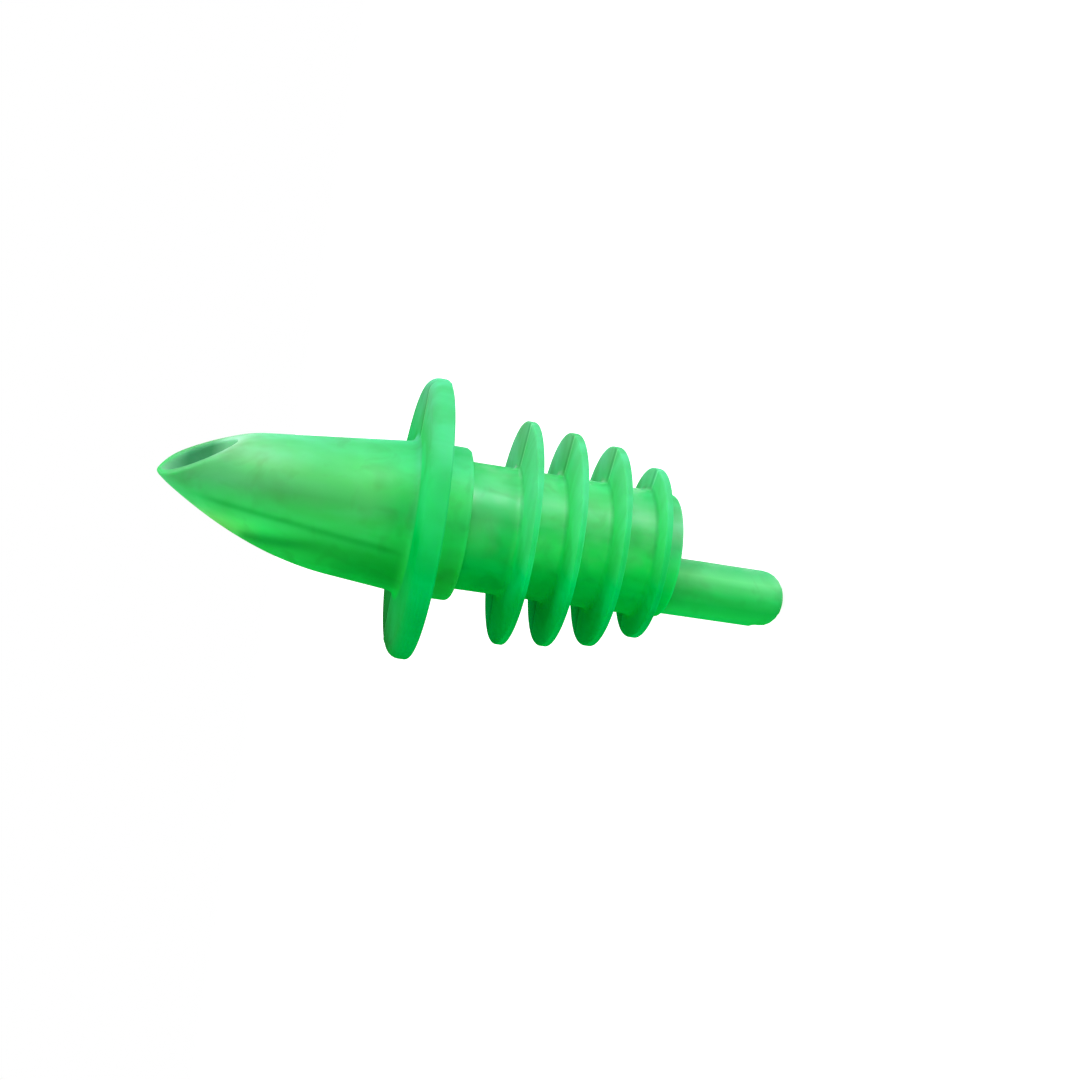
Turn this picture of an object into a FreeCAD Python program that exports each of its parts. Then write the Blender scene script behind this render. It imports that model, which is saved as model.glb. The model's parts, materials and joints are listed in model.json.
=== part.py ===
"""Free-flow pour spout for a spirits bottle, in three moulded plastic pieces.

+Z runs up the stopper's axis and out of the bottle. The origin is where that axis crosses
the flange's underside, which rests on the bottle's lip. The slanted mouth opens towards +X,
and the breather tube and its vent lie on the -X side. Lengths are in millimetres.
"""

import FreeCAD, Part
import math
import os

# Flange that rests on the bottle's lip.
flange_r = 14.25
flange_t = 2.11
flange_top_edge = 1.2
flange_under_edge = 0.2
flange_fillet = 0.9
fillet_tuck = 0.05

# Finned stopper: its core, the narrower neck above it and the end ring below it.
core_r = 6.53
core_len = 21.95
neck_step = 0.37
neck_wall = 1.0
ring_step = 0.1
ring_len = 1.67
ring_edge = 0.4
first_fin_drop = 5.29
fin_places = (0, 0.332, 0.665, 1)
fin_radii = (11.5, 11.05, 10.4, 8.9)
fin_rim_t = 0.85
fin_root_t = 1.35

# Collar under the flange, into which the stopper's neck is pressed.
collar_len = 3.27
collar_wall = 1.66
collar_edge = 0.5
press_gap = 0.01

# Spout above the flange: a slim cone whose underside sweeps up to a beak. Its sides draw in
# faster than its top, and end in a blunt nose.
spout_wall = 1.75
spout_taper = 0.107
side_taper = 0.147
spout_len = 26.96
tip_x = 0.98
sweep_start = 9.08
nose_len = 2.3
nose_narrowing = 0.4
mouth_len = 8.85

# Liquid channel: round where it leaves the stopper's passage, with a floor that rises in a
# straight line in the plane of symmetry.
floor_cover = 1.83
floor_rise = 0.134
channel_draft = 0.022
channel_side_taper = 0.098
throat_len = 6.0
throat_narrowing = 0.5
lip_wall = 0.9

# Breather tube, with a plug that is pressed into the stopper's air bore.
tube_r = 3.03
tube_cover = 0.28
tube_len = 13.6
tube_bore_r = 1.6
tube_end_wall = 1.0
dome_edge = 2.4
plug_r = 2.3
plug_len = 10.0
plug_edge = 0.2
shoulder_edge = 0.15
boss_wall = 0.8
slot_w = 3.9
slot_len = 3.1

# Air duct through the stopper's top and along the spout to the vent in its underside.
duct_r = 1.0
duct_cover = 0.6
duct_wall = 0.8
duct_seal = 1.5
vent_drop = 8.8

# Sizes that follow from those above.
neck_r = core_r - neck_step
passage_r = neck_r - neck_wall
ring_r = core_r - ring_step
collar_r = neck_r + collar_wall
spout_root_r = neck_r + spout_wall
floor_root_x = floor_cover - neck_r
duct_x = duct_r + duct_cover - neck_r
tube_x = tube_r + tube_cover - ring_r
neck_top_z = flange_t
core_end_z = -collar_len - core_len

UP = FreeCAD.Vector(0, 0, 1)
CLEAR = 1.0  # how far a cutting tool runs past the face it leaves by


def at(x, z):
    """A point in the part's plane of symmetry."""
    return FreeCAD.Vector(x, 0, z)


def rod(radius, z_low, z_high, x=0.0):
    """A round rod along Z."""
    return Part.makeCylinder(radius, z_high - z_low, at(x, z_low), UP)


def corner_arc(before, corner, after, radius):
    """The arc that rounds one corner of an outline, with its two tangent points."""
    back = (before - corner).normalize()
    ahead = (after - corner).normalize()
    half_angle = back.getAngle(ahead) / 2
    inward = (back + ahead).normalize()
    reach = radius / math.tan(half_angle)
    start = corner + back * reach
    end = corner + ahead * reach
    middle = corner + inward * (radius / math.sin(half_angle) - radius)
    return start, Part.Arc(start, middle, end).toShape(), end


def turned(outline, x=0.0):
    """A solid of revolution about the line x, from (radius, z, corner rounding) points."""
    points = [at(x + r, z) for r, z, rounding in outline]
    corners = []
    for i, (r, z, rounding) in enumerate(outline):
        if rounding:
            corners.append(corner_arc(points[i - 1], points[i], points[(i + 1) % len(points)], rounding))
        else:
            corners.append((points[i], None, points[i]))
    edges = []
    for i, (start, arc, end) in enumerate(corners):
        last_end = corners[i - 1][2]
        if (start - last_end).Length > 1e-6:
            edges.append(Part.makeLine(last_end, start))
        if arc:
            edges.append(arc)
    return Part.Face(Part.Wire(edges)).revolve(at(x, 0), UP, 360)


def spout_top(z):
    """How far the spout's upper line is from the axis, towards +X."""
    return spout_root_r - spout_taper * z


def sweep(z):
    """How far the underside has swept up: a parabola that reaches tip_x at the tip."""
    rise = tip_x + spout_top(spout_len)
    return rise * (max(0.0, z - sweep_start) / (spout_len - sweep_start)) ** 2


def spout_bottom(z):
    """The underside: the same cone mirrored and swept up."""
    return -spout_top(z) + sweep(z)


def spout_side(z):
    """Half the spout's width. It shrinks with the cube of the way through the nose."""
    nose = max(0.0, z - spout_len + nose_len) / nose_len
    return (spout_root_r - side_taper * z) * (1 - nose_narrowing * nose**3)


def channel_top(z):
    return passage_r - channel_draft * (z - neck_top_z)


def channel_floor(z):
    """The floor rises in a straight line until the beak's thinner wall lifts it further."""
    return max(floor_root_x + floor_rise * z, spout_bottom(z) + lip_wall)


def channel_side(z):
    """Half the channel's width. It shrinks with the square of the way through the throat."""
    throat = max(0.0, z - spout_len + throat_len) / throat_len
    straight = passage_r - channel_side_taper * (z - neck_top_z)
    return straight * (1 - throat_narrowing * throat**2)


def ellipse_loft(heights, low, high, half_width):
    """A loft through ellipses that reach from low(z) to high(z) along X."""
    rings = []
    for z in heights:
        half_height = (high(z) - low(z)) / 2
        centre = at((high(z) + low(z)) / 2, z)
        side = FreeCAD.Vector(0, half_width(z), 0)
        top = FreeCAD.Vector(half_height, 0, 0)
        if half_height > half_width(z):
            ellipse = Part.Ellipse(centre + top, centre + side, centre)
        else:
            ellipse = Part.Ellipse(centre + side, centre + top, centre)
        rings.append(Part.Wire(ellipse.toShape()))
    return Part.makeLoft(rings, True, False)


def levels(z_low, z_high, count):
    """Heights from z_low to z_high, evenly spaced."""
    return [z_low + (z_high - z_low) * i / count for i in range(count + 1)]


def above_mouth():
    """Everything on the open side of the slanted cut from the tip down to the mouth's heel."""
    tip = at(spout_bottom(spout_len), spout_len)
    heel_z = spout_len - mouth_len
    heel = at(spout_top(heel_z), heel_z)
    along = (heel - tip).normalize()
    across = FreeCAD.Vector(0, 1, 0)
    size = 4 * spout_len
    corner = tip - along * size / 2 - across * size / 2
    plate = Part.makePolygon(
        [corner, corner + along * size, corner + along * size + across * size, corner + across * size, corner]
    )
    outward = FreeCAD.Vector(-along.z, 0, along.x)
    return Part.Face(plate).extrude(outward * size)


def flange_and_collar():
    """The fillet's top is tucked just inside the spout, so that the two cross cleanly."""
    root_r = spout_side(flange_t + flange_fillet) - fillet_tuck
    return turned(
        [
            (0, -collar_len, 0),
            (collar_r, -collar_len, collar_edge),
            (collar_r, 0, flange_fillet),
            (flange_r, 0, flange_under_edge),
            (flange_r, flange_t, flange_top_edge),
            (root_r, flange_t, flange_fillet),
            (root_r, flange_t + flange_fillet, 0),
            (0, flange_t + flange_fillet, 0),
        ]
    )


def liquid_channel():
    """The spout's channel, with the duct's wall left standing as a rib on its floor."""
    heights = levels(neck_top_z, spout_len, 20)
    channel = ellipse_loft(heights, channel_floor, channel_top, channel_side)
    return channel.cut(rod(duct_r + duct_wall, neck_top_z - CLEAR, spout_len, duct_x))


def pour_spout():
    heights = levels(0, spout_len + nose_len / 10, 24)
    shell = ellipse_loft(heights, spout_bottom, spout_top, spout_side)
    body = shell.fuse(flange_and_collar()).cut(above_mouth())
    body = body.cut(rod(neck_r, -collar_len - CLEAR, neck_top_z))
    body = body.cut(liquid_channel())
    return body.cut(rod(duct_r, neck_top_z - CLEAR, spout_len - vent_drop, duct_x))


def finned_core():
    """The stopper's outside: its neck, the core, the thin fins and the end ring."""
    flare = (fin_root_t - fin_rim_t) / 2
    first_top = -collar_len - first_fin_drop
    last_top = core_end_z + ring_len + fin_rim_t + flare
    neck = neck_r - press_gap
    outline = [(0, neck_top_z, 0), (neck, neck_top_z, 0), (neck, -collar_len, 0), (core_r, -collar_len, 0)]
    for place, radius in zip(fin_places, fin_radii):
        top = first_top + place * (last_top - first_top)
        below_r = ring_r if place == fin_places[-1] else core_r
        outline += [
            (core_r, top + flare, 0),
            (radius, top, 0),
            (radius, top - fin_rim_t, 0),
            (below_r, top - fin_rim_t - flare, 0),
        ]
    outline += [(ring_r, core_end_z, ring_edge), (0, core_end_z, 0)]
    return turned(outline)


def finned_stopper():
    """The core is hollow: a liquid passage beside a boss that holds the air bore."""
    boss = rod(plug_r + boss_wall, core_end_z - 2 * CLEAR, neck_top_z + 2 * CLEAR, tube_x)
    passage = rod(passage_r, core_end_z - CLEAR, neck_top_z + CLEAR).cut(boss)
    body = finned_core().cut(passage)
    body = body.cut(rod(plug_r, core_end_z - CLEAR, neck_top_z - duct_seal, tube_x))
    return body.cut(rod(duct_r, neck_top_z - 2 * duct_seal, neck_top_z + CLEAR, duct_x))


def breather_tube():
    """A tube with a plug above, a domed end below and a slot in the dome for the air."""
    tip_z = core_end_z - tube_len
    body = turned(
        [
            (0, core_end_z + plug_len, 0),
            (plug_r - press_gap, core_end_z + plug_len, plug_edge),
            (plug_r - press_gap, core_end_z, 0),
            (tube_r, core_end_z, shoulder_edge),
            (tube_r, tip_z, dome_edge),
            (0, tip_z, 0),
        ],
        tube_x,
    )
    body = body.cut(rod(tube_bore_r, tip_z + tube_end_wall, core_end_z + plug_len + CLEAR, tube_x))
    depth = tube_r - tube_bore_r / 2
    slot = Part.makeBox(depth + CLEAR, slot_w, slot_len + CLEAR)
    slot.translate(FreeCAD.Vector(tube_x - tube_r - CLEAR, -slot_w / 2, tip_z - CLEAR))
    return body.cut(slot)


os.makedirs("parts", exist_ok=True)
for name, shape in {
    "pour_spout": pour_spout(),
    "finned_stopper": finned_stopper(),
    "breather_tube": breather_tube(),
}.items():
    print(name, "solids", len(shape.Solids), "valid", shape.isValid(), "volume", round(shape.Volume, 1))
    shape.exportStep("parts/" + name + ".step")
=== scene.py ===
"""Free-flow liquor pour spout: how its three moulded plastic pieces look.

The part stands on its own axis: +Z goes up through the stopper and out of the bottle, the
slanted mouth opens towards +X, and the vent and the breather tube lie on the -X side.
"""

import json

import bmesh
import bpy
import numpy as np
from mathutils import Matrix, Vector

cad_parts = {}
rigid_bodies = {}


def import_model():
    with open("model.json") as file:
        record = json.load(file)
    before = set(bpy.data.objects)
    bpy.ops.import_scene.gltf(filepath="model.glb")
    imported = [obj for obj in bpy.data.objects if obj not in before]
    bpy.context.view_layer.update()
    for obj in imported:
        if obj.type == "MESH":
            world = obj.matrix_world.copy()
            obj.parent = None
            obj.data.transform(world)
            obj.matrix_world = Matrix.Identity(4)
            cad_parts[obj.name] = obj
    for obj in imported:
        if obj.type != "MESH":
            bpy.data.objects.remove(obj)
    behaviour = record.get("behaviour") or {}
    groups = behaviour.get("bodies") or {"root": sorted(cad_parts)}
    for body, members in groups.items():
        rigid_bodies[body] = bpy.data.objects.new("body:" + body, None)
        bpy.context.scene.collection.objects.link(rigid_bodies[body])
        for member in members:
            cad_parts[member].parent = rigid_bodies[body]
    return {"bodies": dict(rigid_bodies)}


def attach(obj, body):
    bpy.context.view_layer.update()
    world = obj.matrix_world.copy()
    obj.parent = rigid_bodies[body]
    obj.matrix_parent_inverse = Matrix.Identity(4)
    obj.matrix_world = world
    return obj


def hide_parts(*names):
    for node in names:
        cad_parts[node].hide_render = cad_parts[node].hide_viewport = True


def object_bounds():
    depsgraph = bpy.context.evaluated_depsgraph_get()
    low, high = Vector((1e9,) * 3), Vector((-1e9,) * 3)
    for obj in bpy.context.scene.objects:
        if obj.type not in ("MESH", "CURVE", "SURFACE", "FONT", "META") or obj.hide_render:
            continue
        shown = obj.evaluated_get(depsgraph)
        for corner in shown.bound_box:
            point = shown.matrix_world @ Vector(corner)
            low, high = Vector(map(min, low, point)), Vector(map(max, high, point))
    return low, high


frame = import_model()
cad_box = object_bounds()
mm = 0.001

# ---------------------------------------------------------------------------------------
# Pour spout: the beak, the round flange that sits on the bottle's lip and the short collar
# that grips the stopper, moulded together in translucent green polyethylene. The two mould
# halves meet in the plane y = 0 and leave a fine ridge of flash there.

flange_r = 14.25 * mm
flange_t = 2.11 * mm
flange_top_edge = 1.2 * mm
flange_under_edge = 0.35 * mm
flange_fillet = 0.9 * mm
spout_root_r = 7.91 * mm
spout_taper = 0.107
side_taper = 0.147
spout_len = 26.96 * mm
tip_x = 0.98 * mm
sweep_start = 9.08 * mm
nose_len = 2.3 * mm
nose_narrowing = 0.4
mouth_len = 8.85 * mm
lip_wall = 0.9 * mm
rim_edge = 0.3 * mm
heel_edge = 1.9 * mm
bore_edge = 0.8 * mm
bore_heel_edge = 1.8 * mm
passage_r = 5.16 * mm
channel_draft = 0.022
channel_side_taper = 0.098
throat_len = 6.0 * mm
throat_narrowing = 0.5
floor_root_x = -4.33 * mm
floor_rise = 0.134
collar_r = 7.82 * mm
collar_len = 3.27 * mm
collar_edge = 0.5 * mm
neck_r = 6.16 * mm
duct_x = -4.56 * mm
duct_r = 1.0 * mm
duct_wall = 0.8 * mm
vent_z = 18.16 * mm
duct_start = 0.5 * mm
floor_soft = 0.25 * mm
rib_soft = 0.12 * mm
root_fillets = 2.2
channel_start = 0.1 * mm
channel_reach = 1.3
channel_fade = 0.25
socket_end = 0.3 * mm
spout_flash = 0.05 * mm
spout_flash_w = 0.1 * mm
skirt_step = 0.5 * mm
socket_step = 0.4 * mm
ledge_rows = np.array([0.33, 0.67])
spout_columns = 288
beak_rows = 76
channel_rows = 64
land_rows = 5
land_from = 0.45
land_to = 0.5
rod_columns = 96
arc_points = 7
mouth_halvings = 40
sharp_angle = 35


def around(columns, crowding=0.8):
    """Angles from 0 to 2 pi, crowded towards 0 and pi, where the mould halves meet."""
    t = np.linspace(0, 2 * np.pi, columns, endpoint=False)
    return t - crowding / 2 * np.sin(2 * t)


def wrapped_mesh(name, grid, closed_rows):
    """A closed mesh from points[row, column]. The columns go round. The rows join up too if
    closed_rows, and otherwise each end row is closed by one flat face."""
    rows, columns = grid.shape[:2]
    at = np.arange(rows * columns).reshape(rows, columns)
    last = rows if closed_rows else rows - 1
    a = at[np.arange(last)]
    b = at[(np.arange(last) + 1) % rows]
    quads = np.stack([a, np.roll(a, -1, 1), np.roll(b, -1, 1), b], -1).reshape(-1, 4)
    faces = quads.tolist()
    if not closed_rows:
        faces += [at[0, ::-1].tolist(), at[-1].tolist()]
    mesh = bpy.data.meshes.new(name)
    mesh.from_pydata(grid.reshape(-1, 3).tolist(), [], faces)
    return mesh


def rounded_path(corners, step):
    """An outline through (u, v, rounding) corners: each corner is an arc whose tangent points
    lie rounding / tan(half angle) away, and straight runs are cut into lengths near step."""
    corners = [np.array(c, float) for c in corners]
    points = []
    for i, corner in enumerate(corners):
        here = corner[:2]
        if corner[2] == 0 or i in (0, len(corners) - 1):
            arc = here[None]
        else:
            back = corners[i - 1][:2] - here
            ahead = corners[i + 1][:2] - here
            back = back / np.hypot(*back)
            ahead = ahead / np.hypot(*ahead)
            half = np.arccos(np.clip(back @ ahead, -1, 1)) / 2
            middle = (back + ahead) / np.hypot(*(back + ahead))
            centre = here + middle * corner[2] / np.sin(half)
            start = here + back * corner[2] / np.tan(half) - centre
            turn = np.pi - 2 * half
            side = np.sign(start[1] * back[0] - start[0] * back[1])
            t = np.linspace(0, turn, arc_points)[:, None] * side
            across = np.array([-start[1], start[0]])
            arc = centre + np.cos(t) * start + np.sin(t) * across
        if points:
            gap = arc[0] - points[-1][-1]
            count = max(1, int(np.ceil(np.hypot(*gap) / step)))
            between = np.arange(1, count)[:, None] / count
            points.append(points[-1][-1] + between * gap)
        points.append(arc)
    return np.concatenate(points)


def spout_top(z):
    """The upper line: a straight cone."""
    return spout_root_r - spout_taper * z


def sweep(z):
    """The underside's lift: a parabola that brings it to tip_x at the tip."""
    rise = tip_x + spout_top(spout_len)
    return rise * (np.maximum(0, z - sweep_start) / (spout_len - sweep_start)) ** 2


def spout_side(z):
    """Half the width: a faster taper, and a nose that narrows with the cube of the way in."""
    nose = np.maximum(0, z - spout_len + nose_len) / nose_len
    return (spout_root_r - side_taper * z) * (1 - nose_narrowing * nose**3)


def spout_outside(angle, z):
    """Ellipses in z: top = cone, bottom = the cone mirrored plus the sweep."""
    high = spout_top(z)
    low = -high + sweep(z)
    x = (high + low) / 2 + (high - low) / 2 * np.cos(angle)
    return np.stack([x, spout_side(z) * np.sin(angle), z], -1)


def channel_oval(z):
    """The channel's middle, half height and half width: between a nearly straight top and the
    soft maximum of two lines, the floor's straight rise and the inside of the beak's wall."""
    high = passage_r - channel_draft * (z - flange_t)
    line = floor_root_x + floor_rise * z
    shell = -spout_top(z) + sweep(z) + lip_wall
    low = (line + shell + np.sqrt((line - shell) ** 2 + floor_soft**2)) / 2
    throat = np.maximum(0, z - spout_len + throat_len) / throat_len
    side = (passage_r - channel_side_taper * (z - flange_t)) * (1 - throat_narrowing * throat**2)
    return (high + low) / 2, (high - low) / 2, side


def in_channel(x, y, z):
    """1 on the channel's wall, and less on the rim round the mouth: it falls over
    channel_fade and is 0 from channel_reach ovals out."""
    middle, half, side = channel_oval(z)
    ovals = np.hypot((x - middle) / half, y / side)
    return (z > flange_t + channel_start) * (channel_reach - ovals) / channel_fade


def spout_inside(angle, z):
    """The channel's ovals. A rib round the air duct stands on the floor: where the ray from
    the middle meets the rib's circle first, the point stays on the rib, by a soft minimum."""
    middle, half, side = channel_oval(z)
    dx = half * np.cos(angle)
    dy = side * np.sin(angle)
    length = np.hypot(dx, dy)
    ux = dx / length
    uy = dy / length
    rib = duct_r + duct_wall
    to_rib = duct_x - middle
    along = to_rib * ux
    miss = to_rib**2 - along**2
    hit = along - np.sqrt(np.maximum(rib**2 - miss, 0))
    hit = np.where((miss < rib**2) & (ux < 0), hit, 1)
    length = (length + hit - np.sqrt((length - hit) ** 2 + rib_soft**2)) / 2
    return np.stack([middle + length * ux, length * uy, z], -1)


mouth_out = np.array([mouth_len, 0, spout_top(spout_len - mouth_len) - tip_x])
mouth_out = mouth_out / np.linalg.norm(mouth_out)
mouth_tip = np.array([tip_x, 0, spout_len])


def mouth_height(surface, angle):
    """Where each line of the surface crosses the slanted cut, by halving the interval."""
    low = np.full_like(angle, flange_t + flange_fillet)
    high = np.full_like(angle, spout_len)
    for _ in range(mouth_halvings):
        z = (low + high) / 2
        above = (surface(angle, z) - mouth_tip) @ mouth_out > 0
        high = np.where(above, z, high)
        low = np.where(above, low, z)
    return (low + high) / 2


def raised_seam(grid, height, width):
    """The flash where the mould halves meet: points move along their normals by
    height * exp(-(y / width)^2)."""
    down = np.gradient(grid, axis=0)
    across = np.roll(grid, -1, 1) - np.roll(grid, 1, 1)
    normal = np.cross(across, down)
    normal /= np.maximum(np.linalg.norm(normal, axis=2, keepdims=True), 1e-12)
    lift = height * np.exp(-((grid[..., 1:2] / width) ** 2))
    return grid + normal * lift


def turned_grid(path, angle, x=0.0):
    """Points (r cos a + x, r sin a, z) for each (r, z) of the path."""
    r = path[:, 0][:, None]
    z = np.broadcast_to(path[:, 1][:, None], (len(path), len(angle)))
    return np.stack([x + r * np.cos(angle), r * np.sin(angle), z], -1)


def rod(radius, z_low, z_high, x=0.0):
    """A round rod along Z, used to bore a hole."""
    path = np.array([[radius, z_low], [radius, z_high]])
    return wrapped_mesh("rod", turned_grid(path, around(rod_columns, 0), x), False)


def outward(mesh):
    """Turns the faces so that the closed mesh's volume is positive."""
    bm = bmesh.new()
    bm.from_mesh(mesh)
    bmesh.ops.recalc_face_normals(bm, faces=bm.faces)
    if bm.calc_volume(signed=True) < 0:
        bmesh.ops.reverse_faces(bm, faces=bm.faces)
    bm.to_mesh(mesh)
    bm.free()
    return mesh


def bored(mesh, tools):
    """The mesh with each tool's volume taken out of it."""
    body = bpy.data.objects.new("body", outward(mesh))
    bpy.context.scene.collection.objects.link(body)
    helpers = []
    for tool in tools:
        helper = bpy.data.objects.new("tool", outward(tool))
        bpy.context.scene.collection.objects.link(helper)
        helpers.append(helper)
        cut = body.modifiers.new("cut", "BOOLEAN")
        cut.operation = "DIFFERENCE"
        cut.solver = "MANIFOLD"
        cut.object = helper
    shown = body.evaluated_get(bpy.context.evaluated_depsgraph_get())
    result = bpy.data.meshes.new_from_object(shown)
    for thing in [body] + helpers:
        bpy.data.objects.remove(thing)
    return result


def finished(name, mesh, node, material):
    """Puts a finished mesh in the scene in place of its CAD node."""
    outward(mesh)
    mesh.shade_smooth()
    mesh.set_sharp_from_angle(angle=np.radians(sharp_angle))
    mesh.materials.clear()
    mesh.materials.append(material)
    piece = bpy.data.objects.new(name, mesh)
    bpy.context.scene.collection.objects.link(piece)
    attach(piece, next(iter(frame["bodies"])))
    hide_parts(node)


def collar_and_flange(angle):
    """Turned from the socket's mouth, round the collar and the flange, on to the beak's root,
    where y is squeezed evenly with the height until it meets the beak's sides."""
    root_end = flange_t + root_fillets * flange_fillet
    path = rounded_path(
        [
            (neck_r, -collar_len, 0),
            (collar_r, -collar_len, collar_edge),
            (collar_r, 0, flange_fillet),
            (flange_r, 0, flange_under_edge),
            (flange_r, flange_t, flange_top_edge),
            (spout_top(flange_t), flange_t, flange_fillet),
            (spout_top(root_end), root_end, 0),
        ],
        skirt_step,
    )
    grid = turned_grid(path, angle)
    climb = np.clip((grid[..., 2] - flange_t) / (root_end - flange_t), 0, 1)
    grid[..., 1] *= 1 - climb * (1 - spout_side(root_end) / spout_top(root_end))
    return grid


def lip(outer, corner_out, corner_in, inner, edge_out, edge_in):
    """Rows across the mouth's cut rim. Each corner is a quadratic curve from its edge length
    before it to as far after it, and the land between them is flat. On a narrow rim the
    curves end at the shares land_from and land_to of its width, from either side."""
    flat = corner_in - corner_out
    width = np.linalg.norm(flat, axis=1, keepdims=True)
    flat = flat / width
    start = corner_out + flat * np.minimum(edge_out[:, None], width * land_from)
    end = corner_in - flat * np.minimum(edge_in[:, None], width * land_to)
    t = np.linspace(0, 1, arc_points)[1:, None, None]
    first = (1 - t) ** 2 * outer + 2 * t * (1 - t) * corner_out + t**2 * start
    land = start + (end - start) * np.linspace(0, 1, land_rows)[1:-1, None, None]
    last = (1 - t) ** 2 * end + 2 * t * (1 - t) * corner_in + t**2 * inner
    return np.concatenate([first, land, end[None], last])


def spout_mesh():
    """One closed sheet: up the collar, flange and beak, over the cut rim, down the channel,
    across the ledge and down the stopper's socket."""
    angle = around(spout_columns)
    skirt = collar_and_flange(angle)
    cut_out = mouth_height(spout_outside, angle)
    cut_in = mouth_height(spout_inside, angle)
    heel = np.maximum(0, np.cos(angle)) ** 4
    edge = rim_edge + (heel_edge - rim_edge) * heel
    edge_in = bore_edge + (bore_heel_edge - bore_edge) * heel
    rise = np.linspace(0, 1, beak_rows)[1:, None]
    low = skirt[-1, 0, 2]
    beak = spout_outside(angle[None], low + (cut_out - edge - low) * rise)
    outside = np.concatenate([skirt, beak])
    outside = raised_seam(outside, spout_flash, spout_flash_w)
    top_in = cut_in - edge_in
    sink = np.linspace(0, 1, channel_rows)[:, None]
    channel = spout_inside(angle[None], top_in + (flange_t - top_in) * sink)
    rim = lip(
        outside[-1],
        spout_outside(angle, cut_out),
        spout_inside(angle, cut_in),
        channel[0],
        edge,
        edge_in,
    )
    socket_low = -collar_len + socket_end
    socket_path = rounded_path([(neck_r, flange_t, 0), (neck_r, socket_low, 0)], socket_step)
    socket = turned_grid(socket_path, angle)
    ledge = channel[-1] + (socket[0] - channel[-1]) * ledge_rows[:, None, None]
    rows = np.concatenate([outside, rim, channel[1:], ledge, socket])
    duct = rod(duct_r, flange_t - duct_start, vent_z, duct_x)
    return bored(wrapped_mesh("pour_spout", rows, True), [duct])


def new_group(name, inputs, outputs):
    """An empty shader node group with (type, name, default) sockets."""
    tree = bpy.data.node_groups.new(name, "ShaderNodeTree")
    for kind, label, default in inputs:
        socket = tree.interface.new_socket(label, in_out="INPUT", socket_type=kind)
        if default is not None:
            socket.default_value = default
    for kind, label in outputs:
        tree.interface.new_socket(label, in_out="OUTPUT", socket_type=kind)
    return tree, tree.nodes.new("NodeGroupInput"), tree.nodes.new("NodeGroupOutput")


def feed(tree, socket, value):
    """Links a socket to another one, or sets its value."""
    if isinstance(value, bpy.types.NodeSocket):
        tree.links.new(value, socket)
    else:
        socket.default_value = value


def node(tree, kind, **settings):
    """A node whose settings are attributes, or inputs where the name starts with in_."""
    made = tree.nodes.new(kind)
    for key, value in settings.items():
        if key.startswith("in_"):
            feed(tree, made.inputs[key[3:].replace("_", " ")], value)
        else:
            setattr(made, key, value)
    return made


def maths(tree, operation, *values, clamped=False):
    """What a Math node makes of sockets and numbers."""
    made = node(tree, "ShaderNodeMath", operation=operation, use_clamp=clamped)
    for socket, value in zip(made.inputs, values):
        feed(tree, socket, value)
    return made.outputs[0]


def ranged(tree, value, low, high, to_low=0.0, to_high=1.0):
    """The value, brought from the range low to high into to_low to to_high and held there."""
    made = node(tree, "ShaderNodeMapRange", in_Value=value, in_From_Min=low, in_From_Max=high)
    made.inputs["To Min"].default_value = to_low
    made.inputs["To Max"].default_value = to_high
    return made.outputs[0]


def noise(tree, place, scale, detail, roughness=0.5, distortion=0.0):
    """A noise texture's value at the place."""
    made = node(tree, "ShaderNodeTexNoise", in_Vector=place, in_Scale=scale, in_Detail=detail)
    made.inputs["Roughness"].default_value = roughness
    made.inputs["Distortion"].default_value = distortion
    return made.outputs["Fac"]


def scaled_place(tree, place, scale):
    """The place, multiplied by a scale for each axis."""
    made = node(tree, "ShaderNodeVectorMath", operation="MULTIPLY")
    feed(tree, made.inputs[0], place)
    feed(tree, made.inputs[1], scale)
    return made.outputs[0]


flow_stretch = (1, 1, 0.4)
wave_rise = 0.14 * mm
grain_rise = 0.0035 * mm


def milky_cloud():
    """The dye's uneven milkiness: soft clouds drawn out along the way the plastic flowed."""
    sockets = [("NodeSocketVector", "Vector", None)]
    tree, given, out = new_group("milky_cloud", sockets, [("NodeSocketFloat", "Cloud")])
    stretched = scaled_place(tree, given.outputs["Vector"], flow_stretch)
    milk = noise(tree, stretched, scale=170.0, detail=3.0, distortion=0.6)
    tree.links.new(ranged(tree, milk, 0.35, 0.65), out.inputs["Cloud"])
    return tree


def moulded_skin():
    """The moulded surface: slow waviness from shrinking, a fine satin grain, and scuffs.
    Height is in metres, for a Bump node with distance 1."""
    tree, given, out = new_group(
        "moulded_skin",
        [("NodeSocketVector", "Vector", None), ("NodeSocketFloat", "Grain", 1.0)],
        [("NodeSocketFloat", "Height"), ("NodeSocketFloat", "Scuff")],
    )
    place = given.outputs["Vector"]
    wave = noise(tree, place, scale=230.0, detail=2.0)
    grain = noise(tree, place, scale=5200.0, detail=2.0, roughness=0.6)
    scuff = noise(tree, place, scale=700.0, detail=6.0, roughness=0.75, distortion=1.5)
    wave_height = maths(tree, "MULTIPLY", wave, wave_rise)
    grain_size = maths(tree, "MULTIPLY", given.outputs["Grain"], grain_rise)
    grain_height = maths(tree, "MULTIPLY", grain, grain_size)
    tree.links.new(maths(tree, "ADD", wave_height, grain_height), out.inputs["Height"])
    tree.links.new(ranged(tree, scuff, 0.56, 0.72), out.inputs["Scuff"])
    return tree


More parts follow.
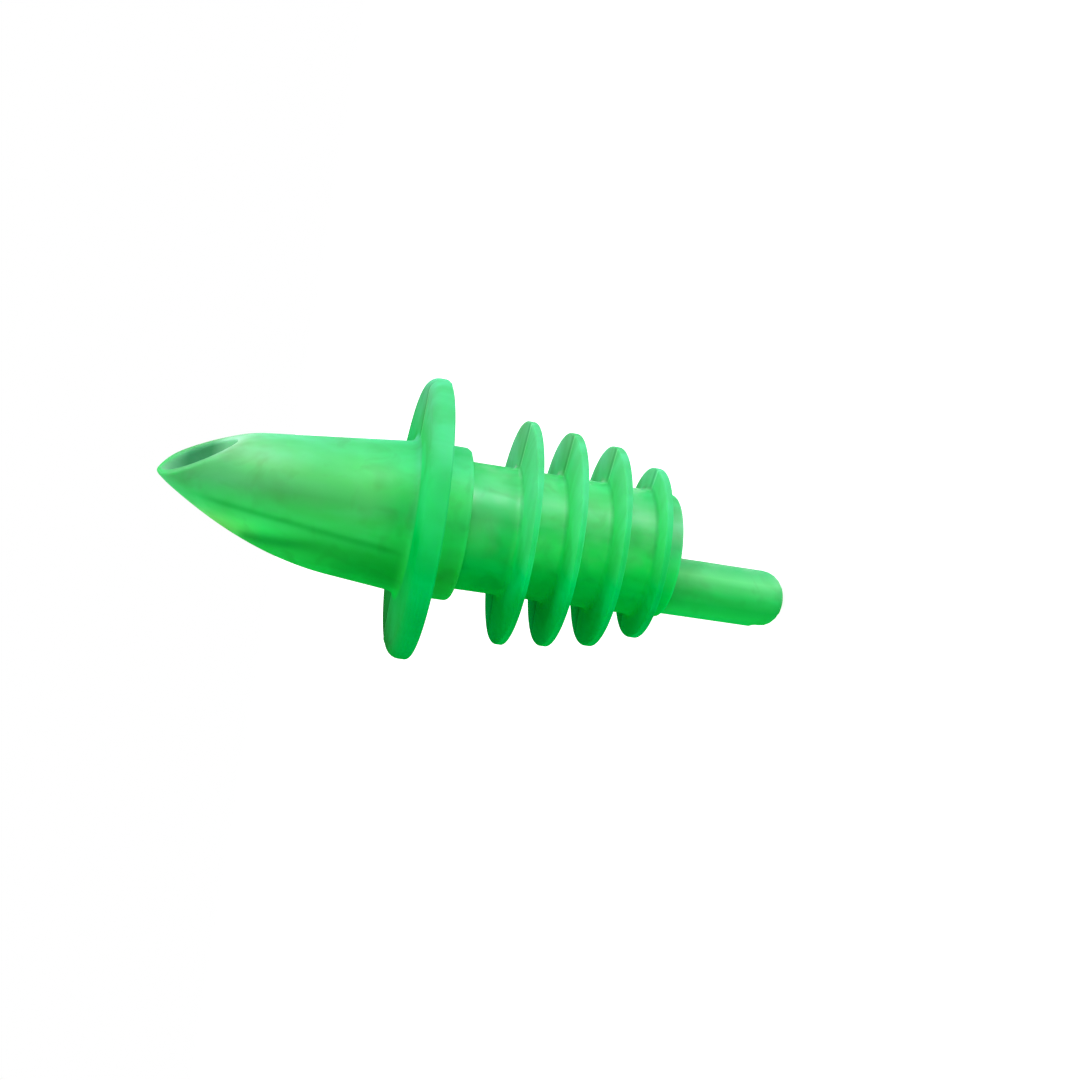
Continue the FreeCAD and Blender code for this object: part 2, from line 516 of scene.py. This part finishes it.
def off_axis():
    """How far out a point is: 0 at the first radius from the Z axis and 1 at the second."""
    tree, given, out = new_group(
        "off_axis",
        [
            ("NodeSocketVector", "Vector", None),
            ("NodeSocketFloat", "From", 0.0),
            ("NodeSocketFloat", "To", 1.0),
        ],
        [("NodeSocketFloat", "Mask")],
    )
    flat = scaled_place(tree, given.outputs["Vector"], (1, 1, 0))
    radius = node(tree, "ShaderNodeVectorMath", operation="LENGTH")
    tree.links.new(flat, radius.inputs[0])
    mask = ranged(tree, radius.outputs["Value"], given.outputs["From"], given.outputs["To"])
    tree.links.new(mask, out.inputs["Mask"])
    return tree


def soft_band():
    """A soft band along the line x = Start + Slope z: exp(-(distance / Width)^2). It comes in
    over the height Rise above Bottom and goes out over Fall below Top."""
    tree, given, out = new_group(
        "soft_band",
        [("NodeSocketVector", "Vector", None)]
        + [("NodeSocketFloat", label, 1.0) for label in band_inputs],
        [("NodeSocketFloat", "Band")],
    )
    size = given.outputs
    axes = node(tree, "ShaderNodeSeparateXYZ", in_Vector=size["Vector"]).outputs
    line = maths(tree, "MULTIPLY_ADD", axes["Z"], size["Slope"], size["Start"])
    away = maths(tree, "SUBTRACT", axes["X"], line)
    widths = maths(tree, "DIVIDE", away, size["Width"])
    square = maths(tree, "MULTIPLY", widths, widths)
    bell = maths(tree, "EXPONENT", maths(tree, "MULTIPLY", square, -1.0))
    above = maths(tree, "SUBTRACT", axes["Z"], size["Bottom"])
    below = maths(tree, "SUBTRACT", size["Top"], axes["Z"])
    rise = maths(tree, "DIVIDE", above, size["Rise"], clamped=True)
    fall = maths(tree, "DIVIDE", below, size["Fall"], clamped=True)
    window = maths(tree, "MULTIPLY", rise, fall)
    tree.links.new(maths(tree, "MULTIPLY", bell, window), out.inputs["Band"])
    return tree


band_inputs = ("Start", "Slope", "Width", "Bottom", "Rise", "Top", "Fall")
cloud_group = milky_cloud()
skin_group = moulded_skin()
radius_group = off_axis()
band_group = soft_band()


def tint_ramp(tree, along, tints, centre, reach):
    """The (side, colour) pairs spread along an axis: side 0 is at centre - reach and side 1
    at centre + reach."""
    ramp = node(tree, "ShaderNodeValToRGB")
    stops = ramp.color_ramp.elements
    for spot, _ in tints[1:-1]:
        stops.new(spot)
    for stop, (spot, colour) in zip(stops, tints):
        stop.position = spot
        stop.color = (*colour, 1)
    tree.links.new(ranged(tree, along, centre - reach, centre + reach), ramp.inputs["Fac"])
    return ramp.outputs["Color"]


def mixed(tree, factor, a, b, blend="MIX"):
    """The colour a, blended with b by the factor. Each is a socket or a plain colour."""
    mix = node(tree, "ShaderNodeMix", data_type="RGBA", blend_type=blend)
    tree.links.new(factor, mix.inputs["Factor"])
    for label, colour in (("A", a), ("B", b)):
        feed(tree, mix.inputs[label], (*colour, 1) if isinstance(colour, tuple) else colour)
    return mix.outputs["Result"]


def banded(tree, place, colour, bands):
    """The colour, multiplied by each band's shade where that band runs. A band is its seven
    band_inputs and its shade."""
    for *values, shade in bands:
        band = node(tree, "ShaderNodeGroup", node_tree=band_group, in_Vector=place)
        for label, value in zip(band_inputs, values):
            band.inputs[label].default_value = value
        colour = mixed(tree, band.outputs["Band"], colour, shade, "MULTIPLY")
    return colour


def marked(mesh, name, value_at):
    """Puts a number between 0 and 1 on each vertex, worked out from x, y and z."""
    place = np.empty(len(mesh.vertices) * 3, np.float32)
    mesh.vertices.foreach_get("co", place)
    value = np.clip(value_at(*place.reshape(-1, 3).T), 0, 1).astype(np.float32)
    mesh.attributes.new(name, "FLOAT", "POINT").data.foreach_set("value", value)
    return mesh


disc_slack = 0.1 * mm


def on_rim(discs):
    """1 on the rim of a (low, high, radius, depth) disc, less further in, 0 from its depth."""

    def value_at(x, y, z):
        rim = np.zeros_like(x)
        for low, high, radius, depth in discs:
            near = (z > low - disc_slack) & (z < high + disc_slack)
            rim = np.maximum(rim, near * (1 + (np.hypot(x, y) - radius) / depth))
        return rim

    return value_at


foot_start = 0.1 * mm
foot_end = 0.7 * mm
# the far side of the faces gets a painted tone: a greyer painted reflection on the fins and painted
# shade on the flange
far_side = (-0.1 * mm, 0.2 * mm)
far_side_share = 0.7
under_edge_w = 0.16 * mm
# painted shade along the lower edge of each disc
under_edge_painted_shade = (0.6, 0.82, 0.75)
blotch_shade = (0.95, 0.87, 0.85)
milk_shade = (0.75, 0.8, 0.6)
mouth_middle = 21 * mm
mouth_reach = 5 * mm
# a faint painted glow inside the mouth, though no lamp is there
painted_glow_strength = 0.3
scuff_roughness = 0.12
upper_share = 0.3
least_gloss = 0.1
# Each row of bands is start, slope, width, bottom, rise, top, fall and shade. The crease
# rows run along z at a place in y: a strip of painted shade beside the crease, and a painted
# highlight on it.
crease_painted_light_and_shade = [
    (0.65 * mm, 0.0, 0.4 * mm, -30 * mm, 1 * mm, 3 * mm, 0.5 * mm, (0.6, 0.75, 0.65)),
    (0.0, 0.0, 0.12 * mm, -30 * mm, 1 * mm, 3 * mm, 0.5 * mm, (2.2, 1.35, 1.7)),
]


def disc_colour(tree, axes, face_painted_tints, rim_painted_tints, far_painted_tone, disc_r, under_edges):
    """The colour of what stands out from a body: the faces' tints, multiplied mostly past y = 0
    by the far side's painted tone, a greyer painted reflection on the fins and painted shade
    on the flange, with a strip of painted shade beside the crease in the parting plane and a
    painted highlight on it; then the rims' tints; then a line of painted shade round at the
    height of each under edge. That line is a band with z in place of x. The faces' and rims'
    tints hold painted light and shade as well."""
    far = ranged(tree, axes["Y"], *far_side, to_high=far_side_share)
    sideways = node(tree, "ShaderNodeCombineXYZ", in_X=axes["Y"], in_Z=axes["Z"]).outputs[0]
    upright = node(tree, "ShaderNodeCombineXYZ", in_X=axes["Z"]).outputs[0]
    rim = node(tree, "ShaderNodeAttribute", attribute_name="rim").outputs["Fac"]
    # the faces' and rims' tints: painted light on the upper side and painted shade underneath
    faces = tint_ramp(tree, axes["X"], face_painted_tints, 0, disc_r)
    faces = mixed(tree, far, faces, far_painted_tone, "MULTIPLY")
    faces = banded(tree, sideways, faces, crease_painted_light_and_shade)
    rims = tint_ramp(tree, axes["X"], rim_painted_tints, 0, disc_r)
    colour = mixed(tree, rim, faces, rims)
    # a line of painted shade round each disc's under edge
    everywhere = (-1.0, 1.0, 1.0, 1.0)
    lines = [(low, 0.0, under_edge_w, *everywhere, under_edge_painted_shade) for low in under_edges]
    return banded(tree, upright, colour, lines)


def green_plastic(
    name, body, body_r, discs, polished, satin, coat, grain, depth, centre=0.0, bands=(), hollow=None
):
    """Translucent dyed polyethylene, whose colour is light scattered back from inside. Its tints
    are lists of (side, colour) pairs along X, painted lighter on the upper side and darker on
    the underside: painted light and shade on the plastic's green. body is for the body of
    radius body_r round centre, and discs holds what disc_colour needs for what stands out from
    it. Each band multiplies the body's colour along a strip: most are painted shade where a
    wall inside shows through, or painted highlights, and a few only change the hue. hollow is
    the painted light and shade inside the mouth, by height, which also glows faintly though no
    lamp is there. polished and satin are the roughness of body and discs, coat is the most
    gloss, which lies in patches on the body's upper side, and depth is how far the light
    scatters."""
    material = bpy.data.materials.new(name)
    material.use_nodes = True
    tree = material.node_tree
    shader = tree.nodes["Principled BSDF"]
    place = node(tree, "ShaderNodeTexCoord").outputs["Object"]
    axes = node(tree, "ShaderNodeSeparateXYZ", in_Vector=place).outputs
    cloud = node(tree, "ShaderNodeGroup", node_tree=cloud_group, in_Vector=place)
    skin = node(tree, "ShaderNodeGroup", node_tree=skin_group, in_Vector=place, in_Grain=grain)
    past = node(tree, "ShaderNodeGroup", node_tree=radius_group, in_Vector=place)
    past.inputs["From"].default_value = body_r + foot_start
    past.inputs["To"].default_value = body_r + foot_end
    past = past.outputs["Mask"]
    blotch = noise(tree, place, scale=300.0, detail=2.0, distortion=0.8)
    blotches = ranged(tree, blotch, 0.5, 0.68)
    # the tints along X: painted light on the upper side and painted shade on the underside
    colour = tint_ramp(tree, axes["X"], body, centre, body_r)
    # painted shade and painted highlights along the bands, where walls inside show through
    colour = banded(tree, place, colour, bands)
    colour = mixed(tree, blotches, colour, blotch_shade, "MULTIPLY")
    if discs:
        colour = mixed(tree, past, colour, disc_colour(tree, axes, *discs))
    if hollow:
        # painted light and shade inside the mouth, and a faint painted glow there though it is no
        # lamp
        inside = node(tree, "ShaderNodeAttribute", attribute_name="hollow").outputs["Fac"]
        mouth = tint_ramp(tree, axes["Z"], hollow, mouth_middle, mouth_reach)
        colour = mixed(tree, inside, colour, mouth)
        painted_glow_colour = mixed(tree, inside, (0, 0, 0), mouth)
        tree.links.new(painted_glow_colour, shader.inputs["Emission Color"])
        shader.inputs["Emission Strength"].default_value = painted_glow_strength
    colour = mixed(tree, cloud.outputs["Cloud"], colour, milk_shade, "MULTIPLY")
    base = ranged(tree, past, 0.0, 1.0, polished, satin)
    rough = maths(tree, "MULTIPLY_ADD", skin.outputs["Scuff"], scuff_roughness, base)
    blend = upper_share * body_r
    upper = ranged(tree, axes["X"], centre - blend, centre + blend)
    patch = noise(tree, place, scale=360.0, detail=1.5, distortion=0.4)
    shine = ranged(tree, patch, 0.36, 0.62, least_gloss * coat, coat)
    gloss = maths(tree, "MULTIPLY", upper, maths(tree, "SUBTRACT", 1.0, past))
    bump = node(tree, "ShaderNodeBump", in_Strength=1.0, in_Distance=1.0)
    tree.links.new(skin.outputs["Height"], bump.inputs["Height"])
    tree.links.new(colour, shader.inputs["Base Color"])
    tree.links.new(maths(tree, "MULTIPLY", gloss, shine), shader.inputs["Coat Weight"])
    tree.links.new(rough, shader.inputs["Roughness"])
    tree.links.new(bump.outputs["Normal"], shader.inputs["Normal"])
    shader.inputs["IOR"].default_value = 1.2
    shader.inputs["Subsurface Weight"].default_value = 1.0
    shader.inputs["Subsurface Radius"].default_value = (0.6, 1.0, 0.7)
    shader.inputs["Subsurface Scale"].default_value = depth
    shader.inputs["Specular IOR Level"].default_value = 0.0
    shader.inputs["Coat Roughness"].default_value = 0.27
    return material


# The tints along X hold painted light and shade: lighter on the upper side, darker on the underside,
# with a painted highlight where the side turns into the top.
spout_painted_tints = [
    (0.0, (0.00, 0.60, 0.04)),
    (0.35, (0.02, 0.60, 0.08)),
    (0.5, (0.05, 0.70, 0.16)),
    (0.64, (0.08, 0.57, 0.18)),
    (0.76, (0.13, 0.66, 0.23)),
    (0.86, (0.14, 0.72, 0.30)),
    (1.0, (0.07, 0.69, 0.30)),
]
# The flange's face and rim tints are painted light on the upper side and painted shade underneath,
# with a painted highlight on the upper rim.
flange_painted_tints = [
    (0.0, (0.01, 0.13, 0.02)),
    (0.2, (0.01, 0.38, 0.06)),
    (0.45, (0.00, 0.44, 0.05)),
    (0.55, (0.00, 0.54, 0.07)),
    (0.75, (0.03, 0.75, 0.16)),
    (1.0, (0.13, 0.62, 0.31)),
]
flange_rim_painted_tints = [
    (0.0, (0.00, 0.28, 0.01)),
    (0.2, (0.00, 0.50, 0.08)),
    (0.45, (0.00, 0.56, 0.11)),
    (0.55, (0.01, 0.62, 0.15)),
    (0.75, (0.04, 0.60, 0.18)),
    (0.85, (0.10, 0.69, 0.32)),
    (1.0, (0.08, 0.62, 0.26)),
]
# the flange's far side: painted shade
flange_far_painted_shade = (0.75, 0.66, 0.66)
# Painted light and shade inside the mouth, by height: light deep in the bore, dark under the rim.
hollow_painted_tints = [
    (0.0, (0.36, 0.75, 0.50)),
    (0.45, (0.30, 0.68, 0.45)),
    (0.6, (0.08, 0.34, 0.17)),
    (0.8, (0.05, 0.26, 0.12)),
    (1.0, (0.12, 0.38, 0.21)),
]
spout_plastic = green_plastic(
    "spout_plastic",
    body=spout_painted_tints,
    body_r=spout_root_r,
    discs=(flange_painted_tints, flange_rim_painted_tints, flange_far_painted_shade, flange_r, [0.0]),
    polished=0.35,
    satin=0.5,
    coat=0.12,
    grain=1.0,
    depth=0.8 * mm,
    bands=[
        # painted shade where the channel's straight floor shows through the wall
        (-2.0 * mm, 0.0965, 0.38 * mm, 2.1 * mm, 2 * mm, 24 * mm, 4 * mm, (0.4, 0.78, 0.6)),
        # painted shade on the thick lower half by the flange
        (-4.6 * mm, 0.0, 3.2 * mm, 2.1 * mm, 1 * mm, 13 * mm, 6 * mm, (0.3, 0.8, 0.7)),
        # painted shade where the air duct shows through, up to its vent
        (-1.85 * mm, -0.088, 0.8 * mm, 8.5 * mm, 5 * mm, 18.6 * mm, 1 * mm, (0.3, 0.58, 0.48)),
        # painted light beside the duct
        (-2.6 * mm, 0.035, 1.3 * mm, 11 * mm, 6 * mm, 29 * mm, 2 * mm, (1.4, 1.32, 1.5)),
        # painted light: a thin yellowish edge where the underside sweeps up
        (-3.0 * mm, 0.0, 1.4 * mm, 16 * mm, 4 * mm, 30 * mm, 1 * mm, (5.0, 1.12, 1.2)),
        # an olive strip of painted shade along the side
        (2.4 * mm, 0.0, 1.2 * mm, 9 * mm, 6 * mm, 27 * mm, 3 * mm, (1.1, 0.86, 0.95)),
        # painted shade on the mouth's rim
        (4.2 * mm, 0.0, 1.6 * mm, 18.5 * mm, 2 * mm, 25 * mm, 1 * mm, (0.85, 0.85, 0.88)),
        # a painted highlight where the side turns into the top
        (4.9 * mm, 0.0, 1.1 * mm, 12 * mm, 5 * mm, 25 * mm, 3 * mm, (1.65, 0.98, 1.25)),
        # painted shade on the top line by the flange
        (7.2 * mm, 0.0, 1.1 * mm, 8 * mm, 3 * mm, 20 * mm, 3 * mm, (0.9, 0.88, 0.88)),
        # the start of the painted highlight
        (5.3 * mm, 0.0, 1.1 * mm, 2.5 * mm, 2 * mm, 11 * mm, 3 * mm, (1.05, 1.12, 1.1)),
        # the whole collar, less red; then painted light on its upper side and at its end by the
        # flange
        (0.5 * mm, 0.0, 5 * mm, -3.4 * mm, 0.2 * mm, 0.3 * mm, 0.3 * mm, (0.35, 0.96, 0.72)),
        (3.3 * mm, 0.0, 2.4 * mm, -3.1 * mm, 1.2 * mm, 0.3 * mm, 0.3 * mm, (1.0, 1.2, 1.1)),
        (-1.5 * mm, 0.0, 5.5 * mm, -1.7 * mm, 0.9 * mm, 0.3 * mm, 0.3 * mm, (1.0, 1.14, 1.1)),
        # the beak's root, greener than the rest
        (1.5 * mm, 0.0, 4.5 * mm, 1.9 * mm, 0.2 * mm, 6.5 * mm, 3 * mm, (0.35, 1.0, 0.75)),
    ],
    hollow=hollow_painted_tints,
)
spout = marked(spout_mesh(), "rim", on_rim([(0, flange_t, flange_r, flange_top_edge)]))
spout = marked(spout, "hollow", in_channel)
finished("spout", spout, "pour_spout", spout_plastic)

# ---------------------------------------------------------------------------------------
# Finned stopper: a hollow core with four thin fins that bend to seal the bottle's neck, moulded
# in a clearer green polyethylene, with a neck that is pressed into the spout's collar. The fins
# are thickest in the mould's parting plane, so each face has a faint crease there.

core_r = 6.53 * mm
core_len = 21.95 * mm
press_gap = 0.01 * mm
ring_r = 6.43 * mm
ring_edge = 0.4 * mm
fin_tops = np.array([-8.56, -13.17, -17.8, -22.45]) * mm
fin_radii = np.array([11.5, 11.05, 10.4, 8.9]) * mm
fin_rim_t = 0.85 * mm
fin_root_t = 1.35 * mm
fin_draft = 0.014
fin_edge = 0.16 * mm
fin_fillet = 0.3 * mm
nub = 0.22 * mm
nub_width = 0.25 * mm
plug_r = 2.3 * mm
boss_wall = 0.8 * mm
duct_seal = 1.5 * mm
tube_x = -3.12 * mm
core_end_z = -collar_len - core_len
neck_edge = 0.1 * mm
core_edge = 0.15 * mm
stopper_pole_r = 0.05 * mm
stopper_step = 0.45 * mm
stopper_flash = 0.04 * mm
stopper_flash_w = 0.09 * mm
stopper_columns = 320
off_core_reach = 0.5 * mm
foot_reach = 0.35 * mm
past_end = 1 * mm


def finned_path():
    """The neck, the core and the fins, down to the end ring."""
    flare = (fin_root_t - fin_rim_t) / 2
    corners = [
        (stopper_pole_r, flange_t, 0),
        (neck_r - press_gap, flange_t, neck_edge),
        (neck_r - press_gap, -collar_len, 0),
        (core_r, -collar_len, core_edge),
    ]
    for top, radius in zip(fin_tops, fin_radii):
        below_r = ring_r if top == fin_tops[-1] else core_r
        corners += [
            (core_r, top + flare, fin_fillet),
            (radius, top, fin_edge),
            (radius, top - fin_rim_t, fin_edge),
            (below_r, top - fin_rim_t - flare, fin_fillet),
        ]
    corners += [(ring_r, core_end_z, ring_edge), (stopper_pole_r, core_end_z, 0)]
    return rounded_path(corners, stopper_step)


def drafted(grid):
    """Each fin's two faces close in by fin_draft * |y|, more and more over off_core_reach
    outside the core and in full from there."""
    middles = fin_tops - fin_rim_t / 2
    nearest = middles[np.abs(grid[..., 2:] - middles).argmin(-1)]
    side = np.clip((grid[..., 2] - nearest) / (fin_rim_t / 2), -1, 1)
    off_core = np.clip((np.hypot(grid[..., 0], grid[..., 1]) - core_r) / off_core_reach, 0, 1)
    grid[..., 2] -= side * off_core * fin_draft * np.abs(grid[..., 1])
    return grid


def nubbed(grid):
    """A drop of flash at the seam where each fin's upper face leaves the core: points move
    out along X by nub * exp(-(distance / nub_width)^2)."""
    feet = fin_tops + (fin_root_t - fin_rim_t) / 2 + fin_fillet
    x, y, z = np.moveaxis(grid, -1, 0)
    near = feet[np.abs(z[..., None] - feet).argmin(-1)]
    away = (y / nub_width) ** 2 + ((z - near) / nub_width) ** 2
    low = np.abs(np.hypot(x, y) - core_r) < foot_reach
    grid[..., 0] = x + np.sign(x) * low * nub * np.exp(-away)
    return grid


def stopper_mesh():
    """A turned and drafted outside, bored out for the liquor, the air and the tube's plug."""
    grid = drafted(turned_grid(finned_path(), around(stopper_columns)))
    grid = nubbed(raised_seam(grid, stopper_flash, stopper_flash_w))
    boss = rod(plug_r + boss_wall, core_end_z - 2 * past_end, flange_t + 2 * past_end, tube_x)
    passage = bored(rod(passage_r, core_end_z - past_end, flange_t + past_end), [boss])
    air = rod(plug_r, core_end_z - past_end, flange_t - duct_seal, tube_x)
    duct = rod(duct_r, flange_t - 2 * duct_seal, flange_t + past_end, duct_x)
    return bored(wrapped_mesh("finned_stopper", grid, False), [passage, air, duct])


# The core's tints along X: painted light on the upper side, painted shade underneath, and a painted
# highlight near the top.
core_painted_tints = [
    (0.0, (0.00, 0.58, 0.03)),
    (0.3, (0.00, 0.76, 0.11)),
    (0.5, (0.01, 0.83, 0.15)),
    (0.6, (0.03, 0.78, 0.17)),
    (0.7, (0.05, 0.64, 0.17)),
    (0.78, (0.10, 0.71, 0.24)),
    (0.86, (0.18, 0.81, 0.37)),
    (1.0, (0.07, 0.73, 0.23)),
]
# The fins' face tints are painted lighter than the rims', as painted light where the faces lie in
# shade between the fins. All these tints are painted lighter on top and darker underneath.
fin_painted_tints = [
    (0.0, (0.00, 0.38, 0.04)),
    (0.2, (0.00, 0.48, 0.05)),
    (0.45, (0.00, 0.72, 0.13)),
    (0.65, (0.07, 0.90, 0.25)),
    (0.8, (0.13, 0.95, 0.37)),
    (1.0, (0.16, 0.87, 0.38)),
]
fin_rim_painted_tints = [
    (0.0, (0.00, 0.40, 0.03)),
    (0.2, (0.00, 0.47, 0.06)),
    (0.45, (0.00, 0.60, 0.12)),
    (0.65, (0.03, 0.64, 0.18)),
    (0.8, (0.09, 0.68, 0.29)),
    (1.0, (0.09, 0.60, 0.25)),
]
# the fins' far side: a greyer painted reflection
fin_far_painted_reflection = (1.45, 0.88, 1.2)
stopper_plastic = green_plastic(
    "stopper_plastic",
    body=core_painted_tints,
    body_r=core_r,
    discs=(fin_painted_tints, fin_rim_painted_tints, fin_far_painted_reflection, fin_radii[0], fin_tops - fin_rim_t),
    polished=0.25,
    satin=0.5,
    coat=0.6,
    grain=0.5,
    depth=0.4 * mm,
    bands=[
        # painted shade on the stretch between the collar and the first fin
        (0.0, 0.0, 7 * mm, -8.5 * mm, 0.8 * mm, -3.1 * mm, 0.4 * mm, (0.74, 0.77, 0.76)),
        # painted highlights between the last two fins and between the first two
        (4.9 * mm, 0.0, 0.9 * mm, -22.3 * mm, 1 * mm, -18.8 * mm, 1 * mm, (1.8, 1.08, 1.4)),
        (4.9 * mm, 0.0, 0.9 * mm, -13 * mm, 1 * mm, -9.5 * mm, 1 * mm, (1.5, 1.06, 1.35)),
        # painted shade on the top line near the end, then a painted highlight on the end ring's
        # upper side
        (6.5 * mm, 0.0, 3 * mm, -26 * mm, 1 * mm, -18 * mm, 1 * mm, (0.8, 0.9, 0.9)),
        (3 * mm, 0.0, 3 * mm, -26 * mm, 1 * mm, -23.4 * mm, 0.3 * mm, (1.5, 0.92, 1.2)),
    ],
)
fin_discs = [(top - fin_rim_t, top, radius, fin_edge) for top, radius in zip(fin_tops, fin_radii)]
stopper = marked(stopper_mesh(), "rim", on_rim(fin_discs))
finished("stopper", stopper, "finned_stopper", stopper_plastic)

# ---------------------------------------------------------------------------------------
# Breather tube: lets air into the bottle. It is moulded in the same green polyethylene, with a
# domed end and a slot on the dome's -X side that opens the bore, and its plug is pressed into
# the stopper's air bore.

tube_r = 3.03 * mm
tube_len = 13.6 * mm
tube_bore_r = 1.6 * mm
tube_end_wall = 1.0 * mm
dome_edge = 2.4 * mm
plug_len = 10.0 * mm
slot_w = 3.9 * mm
slot_len = 3.1 * mm
slot_corner = 0.5 * mm
bore_end_edge = 0.3 * mm
bore_mouth_edge = 0.1 * mm
plug_edge = 0.2 * mm
shoulder_edge = 0.15 * mm
tube_pole_r = 0.03 * mm
tube_step = 0.4 * mm
tube_flash = 0.03 * mm
tube_flash_w = 0.08 * mm
tube_columns = 192


def air_slot(tip_z):
    """The slot's cutter: a rectangle with two round corners in y and z, drawn out along X."""
    half = slot_w / 2
    top = tip_z + slot_len
    low = tip_z - 2 * past_end
    side = rounded_path(
        [(-half, low, 0), (-half, top, slot_corner), (half, top, slot_corner), (half, low, 0)],
        tube_step,
    )
    y, z = side.T
    near = np.full_like(y, tube_x - tube_r - past_end)
    far = np.full_like(y, tube_x - tube_bore_r / 2)
    rows = np.stack([np.stack([near, y, z], -1), np.stack([far, y, z], -1)])
    return wrapped_mesh("slot", rows, False)


def tube_mesh():
    """Bore, plug, shoulder, barrel and dome turned in one go, then slotted."""
    tip_z = core_end_z - tube_len
    plug_top = core_end_z + plug_len
    path = rounded_path(
        [
            (tube_pole_r, tip_z + tube_end_wall, 0),
            (tube_bore_r, tip_z + tube_end_wall, bore_end_edge),
            (tube_bore_r, plug_top, bore_mouth_edge),
            (plug_r - press_gap, plug_top, plug_edge),
            (plug_r - press_gap, core_end_z, 0),
            (tube_r, core_end_z, shoulder_edge),
            (tube_r, tip_z, dome_edge),
            (tube_pole_r, tip_z, 0),
        ],
        tube_step,
    )
    turned = turned_grid(path, around(tube_columns), tube_x)
    grid = raised_seam(turned, tube_flash, tube_flash_w)
    return bored(wrapped_mesh("breather_tube", grid, False), [air_slot(tip_z)])


# The tube's tints along X: painted light on the upper side, painted shade underneath, and a painted
# highlight near the top.
tube_painted_tints = [
    (0.0, (0.00, 0.58, 0.06)),
    (0.2, (0.01, 0.68, 0.09)),
    (0.4, (0.01, 0.58, 0.09)),
    (0.6, (0.03, 0.60, 0.13)),
    (0.76, (0.09, 0.63, 0.19)),
    (0.86, (0.15, 0.71, 0.26)),
    (1.0, (0.07, 0.55, 0.19)),
]
tube_plastic = green_plastic(
    "tube_plastic",
    body=tube_painted_tints,
    body_r=tube_r,
    discs=None,
    polished=0.25,
    satin=0.3,
    coat=0.5,
    grain=0.4,
    depth=0.5 * mm,
    centre=tube_x,
)
finished("tube", tube_mesh(), "breather_tube", tube_plastic)

# ---------------------------------------------------------------------------------------
# The studio: a pale floor just under the part, a pale world, two square soft boxes and a
# camera that looks at the part from the -Y side with the part's axis lying across.

floor_gap = 0.2 * mm
floor_size = 1.5
floor_glow = 0.78
world_level = 0.75


def shown_plain(tree):
    """1 for rays from the camera, off gloss or through something clear, and 0 for the rest."""
    rays = node(tree, "ShaderNodeLightPath").outputs
    seen = maths(tree, "MAXIMUM", rays["Is Camera Ray"], rays["Is Glossy Ray"])
    return maths(tree, "MAXIMUM", seen, rays["Is Transmission Ray"])


def add_floor():
    """A pale floor just under the tube's end, white where it is seen but for the shadow."""
    z = cad_box[0][2] - floor_gap
    size = floor_size
    mesh = bpy.data.meshes.new("floor")
    corners = [(-size, -size, z), (size, -size, z), (size, size, z), (-size, size, z)]
    mesh.from_pydata(corners, [], [(0, 1, 2, 3)])
    floor = bpy.data.objects.new("floor", mesh)
    bpy.context.scene.collection.objects.link(floor)
    material = bpy.data.materials.new("floor")
    material.use_nodes = True
    tree = material.node_tree
    shader = tree.nodes["Principled BSDF"]
    shader.inputs["Base Color"].default_value = (0.9, 0.9, 0.9, 1)
    shader.inputs["Roughness"].default_value = 0.9
    shader.inputs["Emission Color"].default_value = (1, 1, 1, 1)
    glow = maths(tree, "MULTIPLY", shown_plain(tree), floor_glow)
    tree.links.new(glow, shader.inputs["Emission Strength"])
    mesh.materials.append(material)


def add_world():
    """White where it is seen, reflected or seen through, and a softer light elsewhere."""
    world = bpy.data.worlds.new("studio")
    bpy.context.scene.world = world
    world.use_nodes = True
    tree = world.node_tree
    light = tree.nodes["Background"]
    light.inputs["Color"].default_value = (1, 1, 1, 1)
    level = ranged(tree, shown_plain(tree), 0.0, 1.0, world_level, 1.0)
    tree.links.new(level, light.inputs["Strength"])


def add_lamp(name, place, target, size, power):
    """A square soft box that faces its target."""
    lamp = bpy.data.lights.new(name, "AREA")
    lamp.size = size
    lamp.energy = power
    thing = bpy.data.objects.new(name, lamp)
    thing.visible_transmission = False
    thing.location = place
    towards = Vector(target) - Vector(place)
    thing.rotation_euler = towards.to_track_quat("-Z", "Y").to_euler()
    bpy.context.scene.collection.objects.link(thing)


def add_camera(place, right, up, lens):
    """A camera at place whose picture's right and up directions are given."""
    data = bpy.data.cameras.new("camera")
    data.lens = lens
    data.sensor_width = 36
    data.clip_start = 0.005
    camera = bpy.data.objects.new("camera", data)
    right = Vector(right).normalized()
    up = Vector(up)
    up = (up - right * up.dot(right)).normalized()
    back = right.cross(up)
    turn = Matrix((right, up, back)).transposed().to_4x4()
    camera.matrix_world = Matrix.Translation(place) @ turn
    bpy.context.scene.collection.objects.link(camera)
    bpy.context.scene.camera = camera


add_floor()
add_world()
add_lamp("key", place=(0.32, -0.10, 0.0), target=(0, 0, 0), size=0.1, power=0.5)
add_lamp("fill", place=(0.13, -0.28, 0.2), target=(0, 0, 0), size=0.3, power=0.3)
add_camera(
    place=(41.41 * mm, -144.53 * mm, 19.42 * mm),
    right=(0.2004, -0.15174, -0.96789),
    up=(0.94131, 0.30371, 0.14728),
    lens=49.91,
)
bpy.context.scene.view_settings.view_transform = "Standard"
